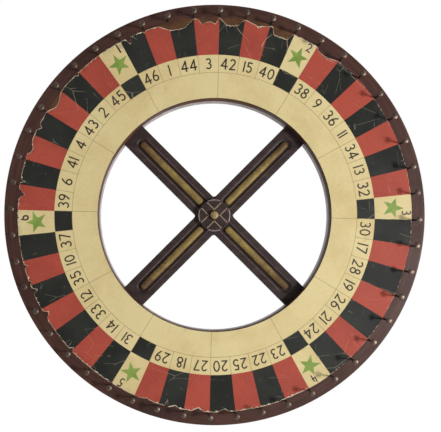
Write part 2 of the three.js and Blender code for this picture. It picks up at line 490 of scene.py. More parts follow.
def makePaper(name, look, roughLow, roughHigh):
    finish, shader, place = newFinish(name)
    blotches = cloud(place, paperWear["blotchScale"], 6.0, 0.62, 0.3)
    colour = tint(look["base"], look["blotch"], blotches, 0.38, 0.7, 0.0, 0.75)
    fibre = cloud(place, paperWear["fibreScale"], 3.0, 0.6)
    colour = tint(colour, look["rub"], fibre, 0.5, 0.8, 0.0, look["fleck"])
    smudges = spread(cloud(place, 34.0, 3.0, 0.55, 0.3), 0.66, 0.78, 0.0, 0.3)
    colour = mixed(times(smudges, look["smudge"]), colour, (0.44, 0.35, 0.24))
    # brown specks, each in its own cell and only in some cells
    cells = add(place, "ShaderNodeTexVoronoi", {"Vector": place, "Scale": paperWear["speckScale"]})
    chosen = spread(cells.outputs["Color"], 0.80, 0.82)
    dot = spread(cells.outputs["Distance"], 0.04, 0.09, 1.0, 0.0)
    speck = times(dot, chosen)
    colour = mixed(times(speck, 0.5), colour, (0.36, 0.27, 0.18))
    # two sets of fine scratches
    first = scratches(place, 11.0, (1.0, 1.0, 2.4), (0.0, 28.0, 0.0), 0.008, 0.52)
    second = scratches(place, 17.0, (2.8, 1.0, 1.0), (0.0, -15.0, 0.0), 0.010, 0.57)
    lines = times(maths("MAXIMUM", first, second), look["scratch"])
    colour = mixed(lines, colour, look["rub"])
    # chipped colour close to the torn edge, and a broken pale line along the cleanly trimmed edge, a painted
    # edge highlight
    nearEdge = add(place, "ShaderNodeAttribute", attribute_name="nearEdge").outputs["Fac"]
    chips = cloud(place, 150.0, 4.0, 0.7)
    chipsAndEdgeHighlight = spread(plus(nearEdge, times(chips, 1.1)), 1.26, 1.36)
    colour = mixed(chipsAndEdgeHighlight, colour, paperWear["paleEdgeColour"])
    swells = cloud(place, 26.0, 3.0, 0.5)
    height = plus(swells, times(fibre, 0.08))
    height = minus(height, times(lines, 0.15))
    roughness = spread(blotches, 0.3, 0.75, roughLow, roughHigh)
    dress(shader, colour, roughness, height, 0.9 * mm, 0.5, specular=0.24)
    return finish


# A finish made of two colours mixed by a cloud, with a finer cloud in its relief
def makeMottled(name, look):
    finish, shader, place = newFinish(name)
    broad = cloud(place, look["scale"], 5.0, 0.62, look.get("swirl", 0.0))
    fine = cloud(place, look["scale"] * 9.0, 3.0, 0.6)
    colour = tint(look["base"], look["worn"], broad, 0.35, 0.68)
    colour = tint(colour, look["fleck"], fine, 0.5, 0.8, 0.0, 0.35)
    low, high = look["roughness"]
    height = plus(broad, times(fine, 0.5))
    roughness = spread(broad, 0.3, 0.72, low, high)
    dress(shader, colour, roughness, height, look["relief"], 0.6, metal=look.get("metal", 0.0))
    return finish


mottledLooks = {
    "tornPaper": {
        "base": (0.86, 0.80, 0.70), "worn": (0.58, 0.47, 0.39), "fleck": (0.92, 0.88, 0.80),
        "scale": 42.0, "roughness": (0.8, 0.95), "relief": 0.4 * mm,
    },
    "ruledLine": {
        "base": (0.55, 0.46, 0.33), "worn": (0.66, 0.58, 0.43), "fleck": (0.42, 0.34, 0.25),
        "scale": 45.0, "roughness": (0.5, 0.65), "relief": 0.1 * mm,
    },
    "numberInk": {
        "base": (0.15, 0.12, 0.10), "worn": (0.24, 0.20, 0.15), "fleck": (0.40, 0.34, 0.25),
        "scale": 70.0, "roughness": (0.4, 0.6), "relief": 0.1 * mm,
    },
    "penInk": {
        "base": (0.17, 0.12, 0.16), "worn": (0.30, 0.23, 0.25), "fleck": (0.38, 0.30, 0.30),
        "scale": 90.0, "roughness": (0.5, 0.7), "relief": 0.1 * mm,
    },
    "starGreen": {
        "base": (0.46, 0.57, 0.22), "worn": (0.55, 0.64, 0.30), "fleck": (0.64, 0.69, 0.40),
        "scale": 34.0, "swirl": 0.5, "roughness": (0.45, 0.65), "relief": 0.15 * mm,
    },
    "blackIron": {
        "base": (0.13, 0.125, 0.12), "worn": (0.20, 0.17, 0.15), "fleck": (0.33, 0.22, 0.15),
        "scale": 80.0, "roughness": (0.45, 0.75), "relief": 0.25 * mm, "metal": 0.85,
    },
    "hubBrass": {
        "base": (0.66, 0.58, 0.42), "worn": (0.57, 0.48, 0.32), "fleck": (0.42, 0.33, 0.22),
        "scale": 120.0, "swirl": 0.6, "roughness": (0.48, 0.62), "relief": 0.08 * mm, "metal": 0.4,
    },
    "goldLine": {
        "base": (0.61, 0.53, 0.43), "worn": (0.51, 0.43, 0.35), "fleck": (0.36, 0.28, 0.23),
        "scale": 85.0, "roughness": (0.42, 0.58), "relief": 0.1 * mm, "metal": 0.1,
    },
}

# Near-black maroon gloss, with brush strokes along each spoke
spokeLook = {
    "base": (0.20, 0.155, 0.15),
    "worn": (0.25, 0.195, 0.185),
    "rubbed": (0.34, 0.25, 0.24),
    "hollow": (0.15, 0.105, 0.10),
    # pale mauve for the painted highlight along each hollow's lip and round the hub disc's edge
    "edge": (0.61, 0.53, 0.54),
    # in metres, where each band starts and ends: across an arm, out from the hub, or along y
    "hollowHalf": (0.0100, 0.0114),
    "hollowReach": (0.024, 0.030, 0.192, 0.199),
    "hollowFloor": (-0.0455, -0.0440),
    "hollowTop": (-0.0489, -0.0487),
    "lipHalf": (0.0108, 0.0115, 0.0122, 0.0130),
    "lipReach": (0.178, 0.188),
    "lipFace": (-0.0490, -0.0489),
    "lipBack": (-0.0475, -0.0470),
    "discEdge": (0.0268, 0.0278),
    "discClear": (0.0090, 0.0120),
    "discFront": (-0.0575, -0.0565),
}


def makeSpokePaint():
    finish, shader, place = newFinish("spokePaint")
    look = spokeLook
    slants = [stretched(place, (7.0, 60.0, 60.0), (0.0, turn, 0.0)) for turn in (45.0, -45.0)]
    strokes = [cloud(slant, 2.0, 5.0, 0.6) for slant in slants]
    brushed = times(plus(*strokes), 0.5)
    colour = tint(look["base"], look["worn"], brushed, 0.42, 0.6)
    rub = cloud(place, 38.0, 5.0, 0.68)
    colour = tint(colour, look["rubbed"], rub, 0.58, 0.74, 0.0, 0.55)
    parts = add(place, "ShaderNodeSeparateXYZ", {0: place}).outputs
    sides = [maths("ABSOLUTE", join(parts["X"], parts["Z"])) for join in (minus, plus)]
    across = times(maths("MINIMUM", *sides), sqrt(0.5))
    radius, _, depth = polar(place)
    # dirt and shade in the hollow beside each bead
    darkFrom, fullFrom, fullTo, darkTo = look["hollowReach"]
    hollow = times(
        spread(across, *look["hollowHalf"], 1.0, 0.0),
        spread(radius, darkFrom, fullFrom),
        spread(radius, fullTo, darkTo, 1.0, 0.0),
        spread(depth, *look["hollowFloor"], 1.0, 0.0),
        spread(depth, *look["hollowTop"], 0.0, 0.6),
    )
    colour = mixed(hollow, colour, look["hollow"])
    # painted highlight: a pale mauve line along the hollow's lip and round the hub disc's edge between the
    # spokes, where these edges catch the light
    lipFrom, lipFull, lipEnd, lipTo = look["lipHalf"]
    lip = times(
        spread(across, lipFrom, lipFull),
        spread(across, lipEnd, lipTo, 1.0, 0.0),
        spread(radius, *look["lipReach"], 1.0, 0.0),
        spread(depth, *look["lipFace"], 0.0, 0.4),
        spread(depth, *look["lipBack"], 1.0, 0.0),
    )
    rim = times(
        spread(radius, *look["discEdge"]),
        spread(across, *look["discClear"]),
        spread(depth, *look["discFront"], 1.0, 0.0),
    )
    patchy = spread(cloud(place, 75.0, 4.0, 0.6), 0.3, 0.6, 0.5, 1.0)
    colour = mixed(times(maths("MAXIMUM", lip, rim), patchy), colour, look["edge"])
    rough = spread(rub, 0.3, 0.7, 0.36, 0.52)
    dress(shader, colour, rough, plus(brushed, times(rub, 0.4)), 0.35 * mm, 0.5, specular=0.3)
    return finish


# Gold, darkened to brown towards the rim: painted shade where the front ring shades the beads' outer ends
goldLook = {
    "bright": (0.58, 0.49, 0.27),
    "dull": (0.49, 0.40, 0.23),
    "brown": (0.34, 0.23, 0.15),
    "rimShadeFrom": 0.10,
    "rimShadeTo": 0.19,
}


def makeGoldPaint():
    finish, shader, place = newFinish("goldPaint")
    radius, _, _ = polar(place)
    patches = cloud(place, 60.0, 6.0, 0.68, 0.4)
    colour = tint(goldLook["bright"], goldLook["dull"], patches, 0.38, 0.66)
    uneven = times(minus(patches, 0.5), 0.12)
    reach = plus(radius, uneven)
    # painted shade: the bead goes brown towards the rim, where the front ring shades it
    rimShade = spread(reach, goldLook["rimShadeFrom"], goldLook["rimShadeTo"], 0.0, 0.85)
    colour = mixed(rimShade, colour, goldLook["brown"])
    fine = cloud(place, 300.0, 3.0, 0.6)
    colour = tint(colour, (0.30, 0.22, 0.13), fine, 0.55, 0.8, 0.0, 0.25)
    roughness = spread(patches, 0.3, 0.72, 0.50, 0.66)
    height = plus(patches, times(fine, 0.1))
    dress(shader, colour, roughness, height, 0.25 * mm, 0.4, specular=0.35, metal=0.1)
    return finish


# Bronze heads rubbed by the hand, over shanks painted near-black: a painted shadow where each shank and its
# own shadow fall together
nailLook = {
    "base": (0.47, 0.41, 0.37),
    "worn": (0.34, 0.28, 0.25),
    "bright": (0.68, 0.61, 0.54),
    # near-black for the shanks, a painted shadow
    "shank": (0.14, 0.10, 0.08),
    "shankTo": (-0.0950, -0.0946),  # y, where the shank meets the head
}


def makeNailBronze():
    finish, shader, place = newFinish("nailBronze")
    patches = cloud(place, 150.0, 4.0, 0.6)
    fine = cloud(place, 900.0, 3.0, 0.6)
    colour = tint(nailLook["base"], nailLook["worn"], patches, 0.35, 0.68)
    colour = tint(colour, nailLook["bright"], fine, 0.5, 0.8, 0.0, 0.4)
    _, _, depth = polar(place)
    low, high = nailLook["shankTo"]
    # painted shadow: the shank is darkened up to where it meets the head
    shank = spread(depth, low, high)
    colour = mixed(shank, colour, nailLook["shank"])
    rough = spread(patches, 0.3, 0.72, 0.40, 0.54)
    roughness = plus(rough, times(shank, 0.3))
    height = plus(patches, times(fine, 0.5))
    dress(shader, colour, roughness, height, 0.1 * mm, 0.5, metal=spread(shank, 0.0, 1.0, 0.92, 0.2))
    return finish


# Bare turned metal: fine rings round the spindle
def makeTurnedSteel():
    finish, shader, place = newFinish("turnedSteel")
    radius, _, depth = polar(place)
    rings = add(place, "ShaderNodeCombineXYZ", {"X": radius, "Y": depth}).outputs[0]
    grooves = cloud(rings, 900.0, 3.0, 0.6)
    oil = cloud(place, 70.0, 4.0, 0.6)
    colour = tint((0.46, 0.45, 0.43), (0.36, 0.35, 0.33), grooves, 0.35, 0.65)
    colour = tint(colour, (0.24, 0.20, 0.16), oil, 0.45, 0.7, 0.0, 0.6)
    dress(shader, colour, spread(oil, 0.3, 0.7, 0.26, 0.5), grooves, 0.05 * mm, 0.6, metal=1.0)
    return finish


# Oiled leather with a pebbled surface
def makeLeather():
    finish, shader, place = newFinish("washerLeather")
    pebbles = add(place, "ShaderNodeTexVoronoi", {"Vector": place, "Scale": 900.0}, feature="SMOOTH_F1")
    creases = pebbles.outputs["Distance"]
    oil = cloud(place, 90.0, 4.0, 0.6)
    colour = tint((0.37, 0.22, 0.13), (0.20, 0.12, 0.08), oil, 0.35, 0.7)
    colour = tint((0.15, 0.09, 0.06), colour, creases, 0.1, 0.6, 0.0, 0.4)
    dress(shader, colour, spread(oil, 0.3, 0.7, 0.5, 0.75), creases, 0.2 * mm, 0.6)
    return finish


def makeFloorFinish():
    finish, shader, place = newFinish("studioFloor")
    soft = cloud(place, 2.0, 4.0)
    dress(shader, mixed(soft, (0.93, 0.93, 0.92), (0.89, 0.89, 0.88)), 0.9)
    return finish


finishes = {name: makeMottled(name, look) for name, look in mottledLooks.items()}
finishes["rimPaint"] = makeRimPaint()
finishes["rimWood"] = makeRimWood()
finishes["creamPaper"] = makePaper("creamPaper", paperLooks["cream"], 0.46, 0.62)
finishes["redPaper"] = makePaper("redPaper", paperLooks["red"], 0.40, 0.56)
finishes["blackPaper"] = makePaper("blackPaper", paperLooks["black"], 0.36, 0.54)
finishes["spokePaint"] = makeSpokePaint()
finishes["goldPaint"] = makeGoldPaint()
finishes["nailBronze"] = makeNailBronze()
finishes["turnedSteel"] = makeTurnedSteel()
finishes["washerLeather"] = makeLeather()
finishes["studioFloor"] = makeFloorFinish()
print("finishes made,", len(finishes))


# Rim, back layer: eight boards sawn to the curve and butted end to end, housed for the spoke ends
backRing = {
    "boards": 8,
    "stationsPerBoard": 48,
    "jointGap": 0.02,  # degrees
    "backEase": 3.0 * mm,
    "innerEase": 1.2 * mm,
    "frontEase": 0.3 * mm,
    "fit": 0.3 * mm,
    "seed": 11,
}


def makeRimBack():
    look = backRing
    back = wheel["backDepth"]
    front = wheel["jointDepth"]
    corners = [
        (wheel["opening"], back, look["innerEase"]),
        (wheel["radius"], back, look["backEase"]),
        (wheel["radius"], front, look["frontEase"]),
        (wheel["opening"], front, look["frontEase"]),
    ]
    profile = [(point.x, point.y) for point in eased(corners)]
    draw = random.Random(look["seed"])
    span = 360.0 / look["boards"]
    whole = bmesh.new()
    grain = whole.verts.layers.float_vector.new("grain")
    for board in range(look["boards"]):
        start = (board - 0.5) * span + look["jointGap"]
        part = turnedShape(profile, look["stationsPerBoard"], start, span - 2 * look["jointGap"])
        shift = Vector((draw.uniform(0, 3), draw.uniform(0, 1), draw.uniform(0, 1)))
        turn = radians(board * span)

        def placed(vertex):
            x, y, z = vertex.co
            along = x * cos(turn) - z * sin(turn)
            out = x * sin(turn) + z * cos(turn)
            copy = whole.verts.new(vertex.co)
            copy[grain] = Vector((along, out, y)) + shift
            return copy

        copyInto(whole, part, placed)
    piece = fromBmesh("rimBack", whole, ["rimWood"])
    reach = wheel["barReach"] + look["fit"]
    half = wheel["barWidth"] / 2 + look["fit"]
    for angle in (45.0, -45.0):
        housing = slab("housing", angle, reach, half, back - mm, front + mm)
        combine(piece, housing)
    assign(piece, wheelBody, "rim_wood", "rim_back_ring")


# Rim, front layer, with a hole under each nail
frontRing = {
    "sides": 384,
    "outerEase": 3.0 * mm,
    "innerEase": 1.2 * mm,
    "backEase": 0.3 * mm,
    "nailHoleRadius": 1.75 * mm,
    "nailHoleDepth": 14.3 * mm,
    "holeSides": 12,
}


def makeRimFront():
    look = frontRing
    front = wheel["faceDepth"]
    corners = [
        (wheel["opening"], wheel["jointDepth"], look["backEase"]),
        (wheel["radius"], wheel["jointDepth"], look["backEase"]),
        (wheel["radius"], front, look["outerEase"]),
        (wheel["opening"], front, look["innerEase"]),
    ]
    piece = turned("rimFront", corners, look["sides"], "rimPaint", 5)
    holes = bmesh.new()
    across = Matrix.Rotation(radians(90.0), 4, "X")
    drill = {"segments": look["holeSides"], "depth": look["nailHoleDepth"] + 2 * mm, "cap_ends": True}
    drill.update({"radius1": look["nailHoleRadius"], "radius2": look["nailHoleRadius"]})
    for index in range(wheel["segments"]):
        centre = onWheel(nails["circleRadius"], angleOf(index), front - look["nailHoleDepth"] / 2 + mm)
        bmesh.ops.create_cone(holes, matrix=Matrix.Translation(centre) @ across, **drill)
    combine(piece, fromBmesh("nailHoles", holes))
    assign(piece, wheelBody, "rim_paint", "rim_front_ring")


# Layout sheet. Tears are runs of (angle, how far inside the trimmed edge), one list for each tear.
layout = {
    "inner": 211.6 * mm,
    "bandMiddle": 234.0 * mm,
    "ruledCircle": 257.4 * mm,
    "numberMiddle": 273.5 * mm,
    "colourStart": 289.5 * mm,
    "colourShares": [0.3, 0.6, 0.85],  # extra rings across the colours
    "glueGap": 0.02 * mm,
    "wander": 0.25 * mm,  # of the painted boundaries between colours
    "trimmedEdge": 357.0 * mm,
    "lineHalf": 0.4 * mm,
    "boxColumns": 30,
    "thickness": 0.7 * mm,
    "thinEdge": 0.18 * mm,
    "frayReach": 3.0 * mm,
    "liftStart": 343.0 * mm,
    "bandEvery": 4,  # ruled lines on the plain band, one in this many boundaries
    "bandFirst": 1,
}
tears = [
    [(-27.0, 0), (-26.5, 9), (-26.2, 12), (-25.8, 8), (-25.4, 0)],
    [(-22.0, 0), (-21.0, 2.5), (-20.0, 0)],
    [(-17, 0), (-16.5, 1), (-15.2, 6), (-13.7, 12), (-11, 14), (-8.8, 12.5), (-7.5, 6), (-6.3, 0.5), (-6, 0)],
    [(-5.4, 0), (-5, 1), (-3.6, 11), (-2.6, 8), (-1, 6), (0.2, 11), (1.2, 0)],
    [(1.5, 0), (2, 3), (3.2, 10), (4.4, 13), (6, 13), (7.4, 10), (8.2, 2), (9, 0.5), (9.4, 0)],
    [(9.6, 0), (10, 1.5), (13, 7), (15, 3.5), (17, 0)],
    [(17.3, 0.5), (17.8, 9), (18.2, 13), (20, 14), (22.2, 13.5), (22.9, 9), (23.6, 0)],
    [(31.8, 0), (32.3, 5), (34, 7), (36, 5.5), (38, 1), (38.5, 0)],
    [(175.4, 0), (177.2, 5.5), (179, 0)],
    [(183, 0), (184.8, 6), (186.6, 0)],
    [(190.1, 0), (191.6, 5), (193.1, 0)],
    [(193.7, 0), (194.2, 13), (194.7, 0)],
    [(198, 0), (200, 2.5), (202, 0)],
    [(226.2, 0), (226.8, 7), (227.4, 0)],
    [(238.3, 0), (239.6, 8.5), (240.9, 0)],
    [(246.2, 0), (247.2, 8.5), (248.2, 0)],
    [(249.2, 0), (249.8, 5), (250.4, 0)],
    [(254.3, 0), (254.8, 5.5), (255.3, 0)],
    [(274.6, 0), (276.2, 10), (277.8, 0)],
    [(279.5, 0), (280, 8), (280.5, 0)],
    [(288.2, 0), (289, 6), (290.2, 7), (291, 3), (292.2, 0)],
    [(295.6, 0), (296.6, 6), (297.6, 0)],
    [(301.8, 0), (303, 6), (304.6, 10), (306.5, 7), (308.8, 0)],
    [(315, 0), (315.6, 4), (316.2, 0)],
]
cleanFrom = 40.0  # degrees, where the edge is still nearly as trimmed
cleanTo = 152.0
cleanRoughness = 0.12
lineRing = 2  # places in the list of the sheet's rings
colourRing = 5
paperBack = wheel["faceDepth"] + layout["glueGap"]
paperFront = paperBack + layout["thickness"]


# Sums of waves round the edge: each one's size, its scale and its channel
edgeWaves = {
    "jag": [(0.9, 2.3, 1), (0.7, 5.1, 2), (0.35, 11.0, 3)],
    "drift": [(0.8, 0.12, 4)],
    "grit": [(0.7, 3.7, 5), (0.5, 8.9, 6)],
    "core": [(0.7, 1.9, 7)],
    "tornCore": [(1.1, 1.3, 8)],
    "lift": [(0.9, 0.35, 9), (0.5, 1.1, 10)],
}


def tearDepth(angle):
    deepest = 0.0
    for tear in tears:
        for turn in (-360.0, 0.0, 360.0):
            here = angle + turn
            if not tear[0][0] <= here <= tear[-1][0]:
                continue
            for (startAngle, startDepth), (endAngle, endDepth) in zip(tear, tear[1:]):
                if startAngle <= here <= endAngle:
                    share = (here - startAngle) / (endAngle - startAngle)
                    deepest = max(deepest, startDepth + share * (endDepth - startDepth))
    return deepest * mm


def wave(value, scale, channel):
    return noise.noise(Vector((value * scale, channel * 7.3, 0.5)))


def waves(angle, kind):
    return sum(size * wave(angle % 360.0, scale, channel) for size, scale, channel in edgeWaves[kind])


# How rough the edge is there: 1 where it is torn all along, near 0 where it is clean
def raggedness(angle):
    return cleanRoughness if cleanFrom < angle % 360.0 < cleanTo else 1.0


def edgeRadius(angle):
    inside = tearDepth(angle)
    bite = max(0.0, 0.5 + waves(angle, "drift") + waves(angle, "jag") * raggedness(angle)) * mm
    grit = waves(angle, "grit") * mm if inside > mm else 0.0
    return layout["trimmedEdge"] - inside - bite + grit


# Width of the paper's pale core along the edge
def coreWidth(angle):
    torn = min(1.0, tearDepth(angle) / (4 * mm))
    base = 0.25 + 0.65 * raggedness(angle) + waves(angle, "core")
    return max(0.15, base + torn * (0.5 + waves(angle, "tornCore"))) * mm


# How far the paper has come off the wood
def liftAt(angle, radius):
    share = (radius - layout["liftStart"]) / (layout["trimmedEdge"] - layout["liftStart"])
    if share <= 0:
        return 0.0
    height = 0.25 + raggedness(angle) * max(0.0, waves(angle, "lift"))
    torn = min(1.0, tearDepth(angle) / (6 * mm))
    return (height + 0.6 * torn) * min(1.0, share) ** 2 * mm


def segmentFinish(index, part):
    block, step = divmod(index, 8)
    if step == 0:
        return "blackPaper" if part == "number" else "creamPaper"
    if part == "number":
        return "creamPaper"
    return "blackPaper" if (step + block) % 2 else "redPaper"


def ringFinish(index, ring, isLine):
    if ring >= colourRing:
        return segmentFinish(index, "colour")
    if ring > lineRing:
        return "ruledLine" if isLine else segmentFinish(index, "number")
    ruled = isLine and index % layout["bandEvery"] == layout["bandFirst"]
    return "ruledLine" if ruled or ring == lineRing else "creamPaper"


def makeLayoutSheet():
    look = layout
    names = ["creamPaper", "redPaper", "blackPaper", "ruledLine", "tornPaper"]
    shape = bmesh.new()
    nearEdge = shape.verts.layers.float.new("nearEdge")
    half = look["lineHalf"]
    circle = look["ruledCircle"]
    start = look["colourStart"]
    inner = [look["inner"], look["bandMiddle"], circle - half, circle + half, look["numberMiddle"], start]
    columns = []
    for index in range(wheel["segments"]):
        columns += [(index, angleOf(index), -half), (index, angleOf(index), half)]
        for step in range(1, look["boxColumns"]):
            columns.append((index, angleOf(index + step / look["boxColumns"]), 0.0))
    grid = []
    for index, angle, offset in columns:
        edge = edgeRadius(angle)
        core = edge - coreWidth(angle)
        radii = inner + [start + share * (core - start) for share in look["colourShares"]] + [core, edge]
        # half strength where the edge is clean still leaves a broken pale line there, a painted edge
        # highlight
        chipsAndHighlightStrength = 0.5 + 0.5 * raggedness(angle)
        fronts = []
        backs = []
        for ring, radius in enumerate(radii):
            wander = look["wander"] * wave(radius * 90.0, 1.0, index) if ring > colourRing else 0.0
            turn = angle + degrees((offset + wander) / radius)
            lift = liftAt(angle, radius)
            top = paperBack + look["thinEdge"] if radius == edge else paperFront
            for side, depth in ((fronts, top), (backs, paperBack)):
                side.append(shape.verts.new(onWheel(radius, turn, depth + lift)))
                side[-1][nearEdge] = exp(-(edge - radius) / look["frayReach"]) * chipsAndHighlightStrength
        grid.append((fronts, backs))

    def addFace(corners, finish):
        shape.faces.new(corners).material_index = names.index(finish)

    for column, (fronts, backs) in enumerate(grid):
        nextFronts, nextBacks = grid[(column + 1) % len(grid)]
        index, _, offset = columns[column]
        last = len(fronts) - 2
        for ring in range(last + 1):
            finish = "tornPaper" if ring == last else ringFinish(index, ring, offset < 0)
            out = ring + 1
            addFace([fronts[ring], nextFronts[ring], nextFronts[out], fronts[out]], finish)
            addFace([backs[out], nextBacks[out], nextBacks[ring], backs[ring]], "tornPaper")
        addFace([backs[0], nextBacks[0], nextFronts[0], fronts[0]], "creamPaper")
        addFace([fronts[-1], nextFronts[-1], nextBacks[-1], backs[-1]], "tornPaper")
    piece = fromBmesh("layoutSheet", shape, names, 30.0)
    assign(piece, wheelBody, "layout_paper", "layout_sheet")


# Painted numbers, built from strokes in a box one unit high
numbers = {
    "height": 19.9 * mm,
    "stroke": 0.064,  # half the brush's width
    "spacing": 0.14,
    "middle": 273.4 * mm,
    "proud": 0.07 * mm,
    "sunk": 0.05 * mm,
    "wobble": 0.9,  # degrees
    "seed": 5,
    "sequence": [
        [46, 1, 44, 3, 42, 15, 40],
        [38, 9, 36, 11, 34, 13, 32],
        [30, 17, 28, 19, 26, 21, 24],
        [23, 22, 25, 20, 27, 18, 29],
        [31, 14, 33, 12, 35, 10, 37],
        [39, 6, 41, 4, 43, 2, 45],
    ],
}


def arc(centreX, centreY, radiusX, radiusY, start, end, steps=14):
    points = []
    for step in range(steps + 1):
        turn = radians(start + (end - start) * step / steps)
        points.append((centreX + radiusX * cos(turn), centreY + radiusY * sin(turn)))
    return points


# Each figure: its width and its strokes; a stroke that ends where it starts is a closed loop
figures = {
    "0": (0.60, [arc(0.30, 0.50, 0.24, 0.44, 0, 360, 28)]),
    "1": (0.12, [[(0.06, 0.0), (0.06, 1.0)]]),
    "2": (0.56, [arc(0.27, 0.70, 0.21, 0.24, 160, -38) + [(0.07, 0.06), (0.54, 0.06)]]),
    "3": (0.54, [arc(0.25, 0.73, 0.20, 0.21, 150, -88), arc(0.25, 0.29, 0.23, 0.23, 92, -148)]),
    "4": (0.64, [[(0.44, 0.0), (0.44, 1.0)], [(0.44, 0.95), (0.06, 0.29)], [(0.0, 0.29), (0.64, 0.29)]]),
    "5": (0.55, [
        [(0.10, 0.94), (0.50, 0.94)],
        [(0.14, 0.98), (0.12, 0.52)],
        arc(0.26, 0.33, 0.23, 0.27, 134, -148),
    ]),
    "6": (0.56, [
        arc(0.28, 0.29, 0.22, 0.23, 0, 360, 26),
        [(0.43, 0.98), (0.27, 0.80), (0.13, 0.58), (0.06, 0.32)],
    ]),
    "7": (0.56, [[(0.0, 0.94), (0.55, 0.94)], [(0.52, 0.96), (0.18, 0.0)]]),
    "8": (0.56, [arc(0.28, 0.75, 0.17, 0.19, 0, 360, 24), arc(0.28, 0.29, 0.22, 0.23, 0, 360, 26)]),
    "9": (0.56, [
        arc(0.28, 0.71, 0.22, 0.23, 0, 360, 26),
        [(0.13, 0.02), (0.29, 0.20), (0.43, 0.42), (0.50, 0.68)],
    ]),
}


# A flat stroke of even width along points, as a thin solid from low to high
def strokeShape(points, half, low, high):
    closed = (Vector(points[0]) - Vector(points[-1])).length < 1e-6
    path = [Vector(point) for point in (points[:-1] if closed else points)]
    count = len(path)
    sides = []
    for index, here in enumerate(path):
        before = path[index - 1] if closed or index > 0 else None
        after = path[(index + 1) % count] if closed or index < count - 1 else None
        into = (here - before).normalized() if before is not None else (after - here).normalized()
        out = (after - here).normalized() if after is not None else into
        normalIn = Vector((-into.y, into.x))
        normalOut = Vector((-out.y, out.x))
        mitre = (normalIn + normalOut).normalized()
        reach = half / max(0.45, mitre.dot(normalOut))
        sides.append((here + mitre * reach, here - mitre * reach))
    shape = bmesh.new()
    rows = []
    for left, right in sides:
        places = [(*side, level) for level in (low, high) for side in (left, right)]
        rows.append([shape.verts.new(place) for place in places])
    spans = list(zip(rows, rows[1:]))
    if closed:
        spans.append((rows[-1], rows[0]))
    for near, far in spans:
        for first, second in ((0, 1), (1, 3), (3, 2), (2, 0)):
            shape.faces.new([near[first], near[second], far[second], far[first]])
    if not closed:
        shape.faces.new([rows[0][0], rows[0][1], rows[0][3], rows[0][2]])
        shape.faces.new([rows[-1][0], rows[-1][1], rows[-1][3], rows[-1][2]])
    return shape


def figureMesh(name, strokes, half):
    parts = [fromBmesh(name + "Stroke", strokeShape(points, half, 0.0, 1.0)) for points in strokes]
    for part in parts[1:]:
        combine(parts[0], part, "UNION")
    mesh = parts[0].data
    bpy.data.objects.remove(parts[0])
    return mesh


# Copies a flat part onto the layout: its x runs clockwise, its y outwards and its z from sunk to proud
def layOn(shape, part, look, angle, scale, offset, tilt):
    turn = radians(tilt)

    def placed(vertex):
        x = (vertex.co.x - offset[0]) * scale
        y = (vertex.co.y - offset[1]) * scale
        across = x * cos(turn) + y * sin(turn)
        along = look["middle"] - x * sin(turn) + y * cos(turn)
        lift = liftAt(angle + degrees(atan2(across, along)), hypot(along, across))
        depth = paperFront + lift + (look["proud"] if vertex.co.z > 0.5 else -look["sunk"])
        return shape.verts.new(onArm(angle, along, across, depth))

    copyInto(shape, part, placed)


def makeNumbers():
    look = numbers
    draw = random.Random(look["seed"])
    meshes = {key: figureMesh("figure", strokes, look["stroke"]) for key, (_, strokes) in figures.items()}
    shape = bmesh.new()
    for block, row in enumerate(look["sequence"]):
        for step, value in enumerate(row):
            angle = angleOf(block * 8 + step + 1.5)
            text = str(value)
            total = sum(figures[key][0] for key in text) + look["spacing"] * (len(text) - 1)
            tilt = draw.uniform(-look["wobble"], look["wobble"])
            scale = look["height"] * draw.uniform(0.97, 1.03)
            start = 0.0
            for key in text:
                part = bmesh.new()
                part.from_mesh(meshes[key])
                layOn(shape, part, look, angle, scale, (total / 2 - start, 0.5), tilt)
                start += figures[key][0] + look["spacing"]
    piece = fromBmesh("layoutNumbers", shape, ["numberInk"], 30.0)
    assign(piece, wheelBody, "layout_paper")


# Painted stars, one point outwards, each a little different
stars = {
    "middle": 322.0 * mm,
    "outer": 19.8 * mm,
    "inner": 8.0 * mm,
    "lean": 3.0,  # degrees, as is turn
    "turn": 2.0,
    "unevenness": 0.06,
    "proud": 0.07 * mm,
    "sunk": 0.05 * mm,
    "seed": 21,
}


def starShape(draw):
    shape = bmesh.new()
    points = []
    for index in range(10):
        reach = stars["outer"] if index % 2 == 0 else stars["inner"]
        turn = radians(index * 36.0 + draw.uniform(-stars["turn"], stars["turn"]))
        reach *= 1 + draw.uniform(-stars["unevenness"], stars["unevenness"])
        points.append((reach * sin(turn), reach * cos(turn)))
    spots = [(0.0, 0.0)] + points
    below, above = [[shape.verts.new((*spot, level)) for spot in spots] for level in (0.0, 1.0)]
    for here in range(1, 11):
        after = here % 10 + 1
        shape.faces.new([above[0], above[after], above[here]])
        shape.faces.new([below[0], below[here], below[after]])
        shape.faces.new([below[here], above[here], above[after], below[after]])
    return shape


def makeStars():
    draw = random.Random(stars["seed"])
    shape = bmesh.new()
    for block in range(6):
        tilt = draw.uniform(-stars["lean"], stars["lean"])
        layOn(shape, starShape(draw), stars, angleOf(block * 8 + 0.5), 1.0, (0.0, 0.0), tilt)
    piece = fromBmesh("layoutStars", shape, ["starGreen"], 30.0)
    assign(piece, wheelBody, "layout_paper")


